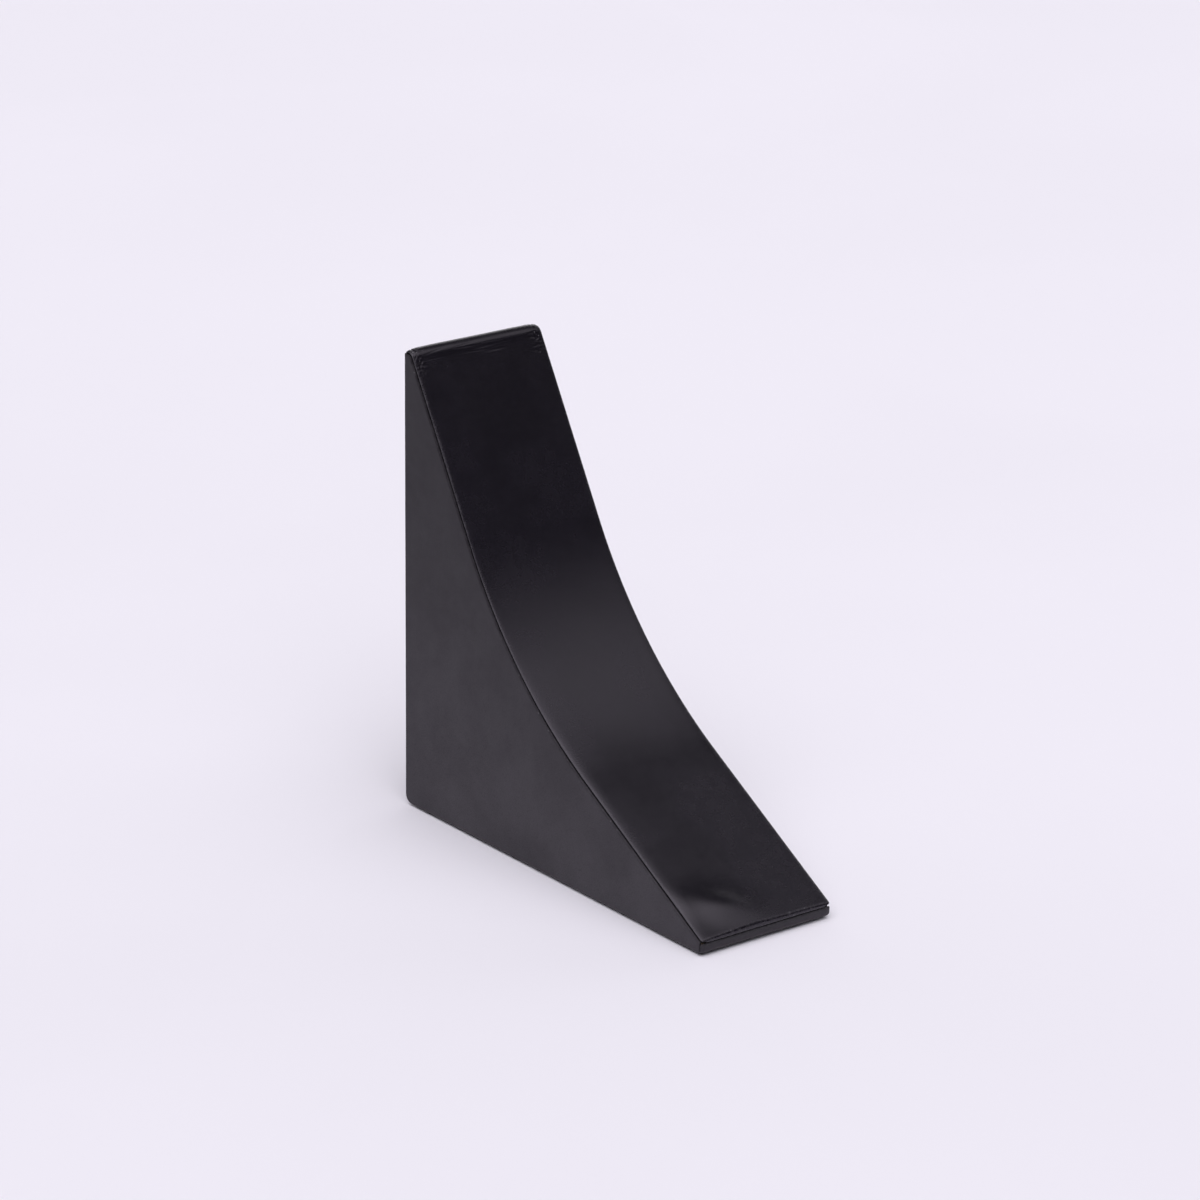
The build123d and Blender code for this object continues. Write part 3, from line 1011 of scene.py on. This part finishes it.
class DOORSTOP_OT_side_panels(bpy.types.Operator):
    """Leather panels glued on the left and right sides"""

    bl_idname = "doorstop.side_panels"
    bl_label = "Side Panels"

    def execute(self, context):
        sizes, colours = context.scene.door_stop_cover, context.scene.door_stop_colours
        seam = sizes.seam_depth + sizes.seam_gap
        end_seam = sizes.strip_leather + sizes.side_gap
        smallest = 0.12 * MM

        def outline(inset):
            """The panel's outline moved inwards: out to base and back, and inside the strip and the lip."""
            base, back, _, _, _, _ = cover_lines(sizes, inset)
            _, _, _, upper, lower, _ = cover_lines(sizes, seam + inset)
            _, _, top, _, _, toe = cover_lines(sizes, end_seam + inset)
            return rounded_line(
                [
                    meet(toe, lower),
                    meet(lower, upper),
                    meet(upper, top),
                    meet(top, back),
                    meet(back, base),
                    meet(base, toe),
                ],
                [
                    smallest,
                    sizes.ramp_radius + seam + inset,
                    smallest,
                    max(sizes.crest_radius - end_seam - inset, smallest),
                    max(sizes.heel_radius - inset, smallest),
                    smallest,
                ],
                closed=True,
            )

        outline_at = outline_reader(outline)
        line_places, points, _, so_far = outline(0.0)
        on_base = np.abs(points[:, 1] - points[:, 1].min()) < 1e-9
        base_lengths = [float(np.interp(-y, -points[on_base, 0], so_far[on_base])) for y in PUCKERS]
        corners = [float(np.interp(k, line_places, so_far)) for k in (0.5, 4.5, 6.5, 8.5, 10.5)]
        close = [(b, 3.0 * MM, 0.2 * MM) for b in base_lengths] + [(c, 2.0 * MM, 0.12 * MM) for c in corners]
        lengths = stations(so_far[-1], 0.9 * MM, close)[:-1]
        places = np.interp(lengths, so_far, line_places)
        centre = np.array(PANEL_CENTRE)
        outer_ring = outline_at(0.0, places)

        for side, node, seed in ((-1.0, "side_panel_left", 51), (1.0, "side_panel_right", 67)):
            name = f"{node}_leather"
            low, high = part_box(node)
            inner_x = min(abs(low.x), abs(high.x))
            thickness = high.x - low.x
            random = np.random.default_rng(seed)
            marks = []
            for y in PUCKERS:
                for high_up, turns, shape in (
                    ((1.0, 1.8), (1.2, 1.9), (1.3 * MM, 0.22 * MM, 0.05 * MM)),
                    ((0.8, 1.3), (-0.4, 0.4), (1.6 * MM, 0.2 * MM, 0.04 * MM)),
                ):
                    along = y + random.uniform(-1.0, 1.0) * MM
                    marks.append((along, random.uniform(*high_up) * MM, random.uniform(*turns), *shape))

            def relief(rings, marks=marks, seed=seed):
                """Slow waves and a few puckers along the base edge."""
                space = np.concatenate([np.zeros((*rings.shape[:2], 1)), rings], axis=2)
                slow = sizes.ripple * (
                    0.6 * waves(space, 48.0 * MM, seed) + 0.25 * waves(space, 17.0 * MM, seed + 1)
                )
                return slow + creases(rings[:, :, 0], rings[:, :, 1] - low.z, marks)

            def to_space(rings, height, side=side, inner_x=inner_x):
                """Height stands outwards along X."""
                return np.concatenate([(side * (inner_x + height))[:, :, None], rings], axis=2)

            piece = flat_panel(
                name, outline_at, centre, places, thickness, 0.62 * thickness, sizes.panel_roll,
                2.0, 32, relief, to_space,
            )
            material = bpy.data.materials.get("Side Leather") or leather_material(
                "Side Leather", colours.side_black, colours.side_roughness, 0.4, 0.7, colours,
                colours.side_base_painted_light,
            )
            finish(piece, material, node)
            loop_area(outer_ring)
        return {"FINISHED"}


class DOORSTOP_OT_base_panel(bpy.types.Operator):
    """Leather panel under the base, turned up over the toe's front face"""

    bl_idname = "doorstop.base_panel"
    bl_label = "Base Panel"

    def execute(self, context):
        sizes, colours = context.scene.door_stop_cover, context.scene.door_stop_colours
        base, _, _, _, _, toe = cover_lines(sizes, 0.0)
        seam_line = cover_lines(sizes, sizes.strip_leather + sizes.toe_gap)[4]
        heel_end = (np.array([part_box("base_panel")[1].y, 0.0]), np.array([0.0, 1.0]))
        line = rounded_line(
            [meet(base, heel_end), meet(base, toe), meet(toe, seam_line)], [0.0, sizes.foot_radius, 0.0]
        )
        places, _, _, so_far = line
        foot = [float(np.interp(k, places, so_far)) for k in (2.0, 3.0)]
        total = so_far[-1]
        heel_steps, lip_steps = roll_steps(END_ROLL, 3.0, 8), roll_steps(LIP_ROLL, 3.0, 12)
        body = stations(
            total - 1.0 * MM, 1.0 * MM, [(foot[0], 2.0 * MM, 0.15 * MM), (total, 3.0 * MM, 0.2 * MM)]
        )
        lengths = np.concatenate([heel_steps[:-1], END_ROLL + body, total - lip_steps[::-1][1:]])
        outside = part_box("base_panel")[1].x
        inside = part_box("side_panel_right")[0].x - sizes.side_gap

        def half_width(along):
            """Narrower between the side panels, full width up the toe, top corners a little rounded."""
            widened = inside + (outside - inside) * smooth(along, foot[0] + 0.15 * MM, foot[0] + 0.6 * MM)
            corner = np.clip(LIP_CORNER - (total - along), 0.0, LIP_CORNER)
            return widened - LIP_CORNER + np.sqrt(LIP_CORNER**2 - corner**2)

        def lean(along):
            """The lip's end is cut square."""
            return np.zeros_like(along)

        def relief(along, across, where):
            """Slow waves, stronger on the short lip."""
            space = in_space(across, where)
            on_lip = smooth(along, foot[0], foot[1])
            return sizes.ripple * (
                0.6 * waves(space, 30.0 * MM, 8) + on_lip * 0.6 * waves(space, 5.0 * MM, 9)
            )

        def worn(along, across):
            """Nowhere gathered."""
            return np.zeros(np.broadcast(along, across).shape)

        piece = leather_band(
            "base_panel_leather", line, lengths, half_width, sizes, 1.4 * MM, (END_ROLL, LIP_ROLL),
            lean, relief, worn,
        )
        material = leather_material(
            "Base Leather", colours.base_black, colours.side_roughness, 0.5, 0.8, colours
        )
        finish(piece, material, "base_panel")
        return {"FINISHED"}


class DOORSTOP_OT_base_pad(bpy.types.Operator):
    """Thin non-slip rubber pad under the base"""

    bl_idname = "doorstop.base_pad"
    bl_label = "Base Pad"

    def execute(self, context):
        sizes = context.scene.door_stop_cover
        low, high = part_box("base_pad")
        middle_y = 0.5 * (low.y + high.y)

        def outline(inset):
            """A rounded rectangle moved inwards, clockwise as seen from above."""
            x, y = high.x - inset, high.y - inset
            radius = max(sizes.pad_corner - inset, 0.2 * MM)
            return rounded_line([(-x, -y), (-x, y), (x, y), (x, -y)], [radius] * 4, closed=True)

        outline_at = outline_reader(outline)
        line_places, _, _, so_far = outline(0.0)
        places = np.interp(stations(so_far[-1], 0.8 * MM)[:-1], so_far, line_places)
        thickness = high.z - low.z

        def relief(rings):
            """The face on the floor stays flat."""
            return np.zeros(rings.shape[:2])

        def to_space(rings, height):
            """The rounded face looks down, and the flat face is glued to the base panel."""
            return np.concatenate([rings, (high.z - height)[:, :, None]], axis=2)

        piece = flat_panel(
            "base_pad_rubber", outline_at, np.array([0.0, middle_y]), places, thickness,
            0.4 * thickness, 0.25 * MM, 2.5, 22, relief, to_space,
        )
        finish(piece, rubber_material("Pad Rubber"), "base_pad")
        return {"FINISHED"}


class DOORSTOP_OT_core_finish(bpy.types.Operator):
    """Board, plywood, dowel, backing, steel and foam finishes of the core inside the cover"""

    bl_idname = "doorstop.core_finish"
    bl_label = "Core Finishes"

    def execute(self, context):
        board = fibre_material(
            "Fibreboard", (0.050, 0.043, 0.037), (0.028, 0.024, 0.021), (1.0, 1.0, 1.0), 0.72, 0.08 * MM
        )
        dowel = fibre_material(
            "Dowel Wood", (0.60, 0.42, 0.26), (0.42, 0.27, 0.15), (0.05, 1.0, 1.0), 0.5, 0.05 * MM
        )
        backing = fibre_material(
            "Backing Board", (0.030, 0.029, 0.028), (0.012, 0.012, 0.012), (0.6, 1.0, 1.0), 0.8, 0.05 * MM
        )
        plywood = plywood_material("Plywood", (0.16, 0.115, 0.075), (0.09, 0.062, 0.040))
        steel, foam = steel_material("Plate Steel"), foam_material("Rattle Foam")
        finishes = {
            "core_frame": board,
            "core_side_left": plywood,
            "core_side_right": plywood,
            "core_dowels": dowel,
            "ramp_backing": backing,
            "rattle_pad_left": foam,
            "rattle_pad_right": foam,
        }
        finishes.update({name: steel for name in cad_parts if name.startswith("weight_plate")})
        for name, material in finishes.items():
            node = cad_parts[name]
            if not node.material_slots:
                raise RuntimeError(f"{name} has no material slot")
            for slot in node.material_slots:
                slot.material = material
        return {"FINISHED"}


def soft_patch(tree, direction, towards, inner, outer, radiance):
    """Radiance of a round soft light: full inside one angle from its middle, none past another."""
    facing = add(
        tree, "ShaderNodeVectorMath", {0: direction, 1: Vector(towards).normalized()}, operation="DOT_PRODUCT"
    )
    edge, full = math.cos(math.radians(outer)), math.cos(math.radians(inner))
    return remap(tree, facing.outputs["Value"], edge, full, 0.0, radiance)


def room_world(settings):
    """The room: dim, with soft lights overhead, above the camera and at the right, and a pale backdrop.

    The camera itself sees the floor's plain colour past the floor's end.
    """
    world = bpy.data.worlds.new("Studio Room")
    world.use_nodes = True
    tree = world.node_tree
    tree.nodes.clear()
    direction = add(tree, "ShaderNodeTexCoord").outputs["Generated"]
    split = add(tree, "ShaderNodeSeparateXYZ", {0: direction})
    low_down = remap(tree, split.outputs["Z"], 0.34, 0.66, settings.backdrop_radiance, 0.0)
    behind = add(tree, "ShaderNodeVectorMath", {0: direction, 1: BEHIND_WAY}, operation="DOT_PRODUCT")
    backdrop = maths(tree, "MULTIPLY", remap(tree, behind.outputs["Value"], 0.25, 0.75), low_down)
    key = soft_patch(tree, direction, KEY_WAY, 0.0, 22.5, settings.key_radiance)
    top = soft_patch(tree, direction, TOP_WAY, 13.0, 48.0, settings.top_radiance)
    front = soft_patch(tree, direction, FRONT_WAY, 4.0, 25.0, settings.front_radiance)
    room = maths(tree, "ADD", maths(tree, "ADD", key, front), settings.room_radiance)
    strength = maths(tree, "ADD", maths(tree, "ADD", backdrop, top), room)
    tint = (*settings.floor_colour, 1.0)
    lighting = add(tree, "ShaderNodeBackground", {"Color": (0.985, 0.97, 1.0, 1.0), "Strength": strength})
    backdrop_view = add(tree, "ShaderNodeBackground", {"Color": tint, "Strength": 1.0})
    seen = add(tree, "ShaderNodeLightPath").outputs["Is Camera Ray"]
    both = add(tree, "ShaderNodeMixShader", {0: seen, 1: lighting.outputs[0], 2: backdrop_view.outputs[0]})
    output = tree.nodes.new("ShaderNodeOutputWorld")
    tree.links.new(both.outputs[0], output.inputs["Surface"])
    return world


class DOORSTOP_OT_stage(bpy.types.Operator):
    """Pale floor, soft studio light and the camera"""

    bl_idname = "doorstop.stage"
    bl_label = "Stage"

    def execute(self, context):
        settings = context.scene.door_stop_studio
        steps = np.linspace(-4.0, 4.0, 9)
        x, y = np.meshgrid(steps, steps, indexing="ij")
        points = np.stack([x, y, np.zeros_like(x)], axis=2).reshape(-1, 3)
        mesh = bpy.data.meshes.new("floor")
        mesh.from_pydata(points.tolist(), [], grid_faces(9, 9, False)[:, ::-1].tolist())
        mesh.update()
        floor = bpy.data.objects.new("floor", mesh)
        mesh.materials.append(floor_material("Pale Floor", settings.floor_colour))
        context.scene.collection.objects.link(floor)

        context.scene.world = room_world(settings)
        context.scene.view_settings.view_transform = "Standard"

        a, e, roll = settings.azimuth, settings.elevation, settings.roll
        back = Vector((math.sin(a) * math.cos(e), -math.cos(a) * math.cos(e), math.sin(e)))
        right = Vector((math.cos(a), math.sin(a), 0.0))
        up = back.cross(right)
        target = Vector((0.0, 0.0, settings.aim_height)) + settings.aim_right * right + settings.aim_up * up
        turned_right = math.cos(roll) * right + math.sin(roll) * up
        turned_up = math.cos(roll) * up - math.sin(roll) * right
        camera = bpy.data.cameras.new("camera")
        camera.sensor_width = 36.0
        camera.lens = settings.lens
        camera.dof.use_dof = False
        holder = bpy.data.objects.new("camera", camera)
        turn = Matrix((turned_right, turned_up, back)).transposed().to_4x4()
        holder.matrix_world = Matrix.Translation(target + back * settings.distance) @ turn
        context.scene.collection.objects.link(holder)
        context.scene.camera = holder
        return {"FINISHED"}


OPERATORS = (
    DOORSTOP_OT_cover_strip,
    DOORSTOP_OT_side_panels,
    DOORSTOP_OT_base_panel,
    DOORSTOP_OT_base_pad,
    DOORSTOP_OT_core_finish,
    DOORSTOP_OT_stage,
)


class DOORSTOP_PT_panel(bpy.types.Panel):
    """Sizes, colours and building steps of the door stop"""

    bl_label = "Door Stop"
    bl_idname = "DOORSTOP_PT_panel"
    bl_space_type = "VIEW_3D"
    bl_region_type = "UI"
    bl_category = "Door Stop"

    def draw(self, context):
        layout = self.layout
        for settings in (
            context.scene.door_stop_cover, context.scene.door_stop_colours, context.scene.door_stop_studio
        ):
            box = layout.box()
            for key in settings.__annotations__:
                box.prop(settings, key)
        for operator in OPERATORS:
            layout.operator(operator.bl_idname)


CLASSES = (CoverSizes, CoverColours, StudioSettings, *OPERATORS, DOORSTOP_PT_panel)


def register():
    """Registers the classes and the scene's settings."""
    for made in CLASSES:
        bpy.utils.register_class(made)
    bpy.types.Scene.door_stop_cover = bpy.props.PointerProperty(type=CoverSizes)
    bpy.types.Scene.door_stop_colours = bpy.props.PointerProperty(type=CoverColours)
    bpy.types.Scene.door_stop_studio = bpy.props.PointerProperty(type=StudioSettings)


def unregister():
    """Takes the settings and the classes away again."""
    del bpy.types.Scene.door_stop_studio
    del bpy.types.Scene.door_stop_colours
    del bpy.types.Scene.door_stop_cover
    for made in reversed(CLASSES):
        bpy.utils.unregister_class(made)


def main():
    """Builds every piece, then the stage."""
    register()
    bpy.ops.doorstop.cover_strip()
    bpy.ops.doorstop.side_panels()
    bpy.ops.doorstop.base_panel()
    bpy.ops.doorstop.base_pad()
    bpy.ops.doorstop.core_finish()
    bpy.ops.doorstop.stage()


if __name__ == "__main__":
    main()
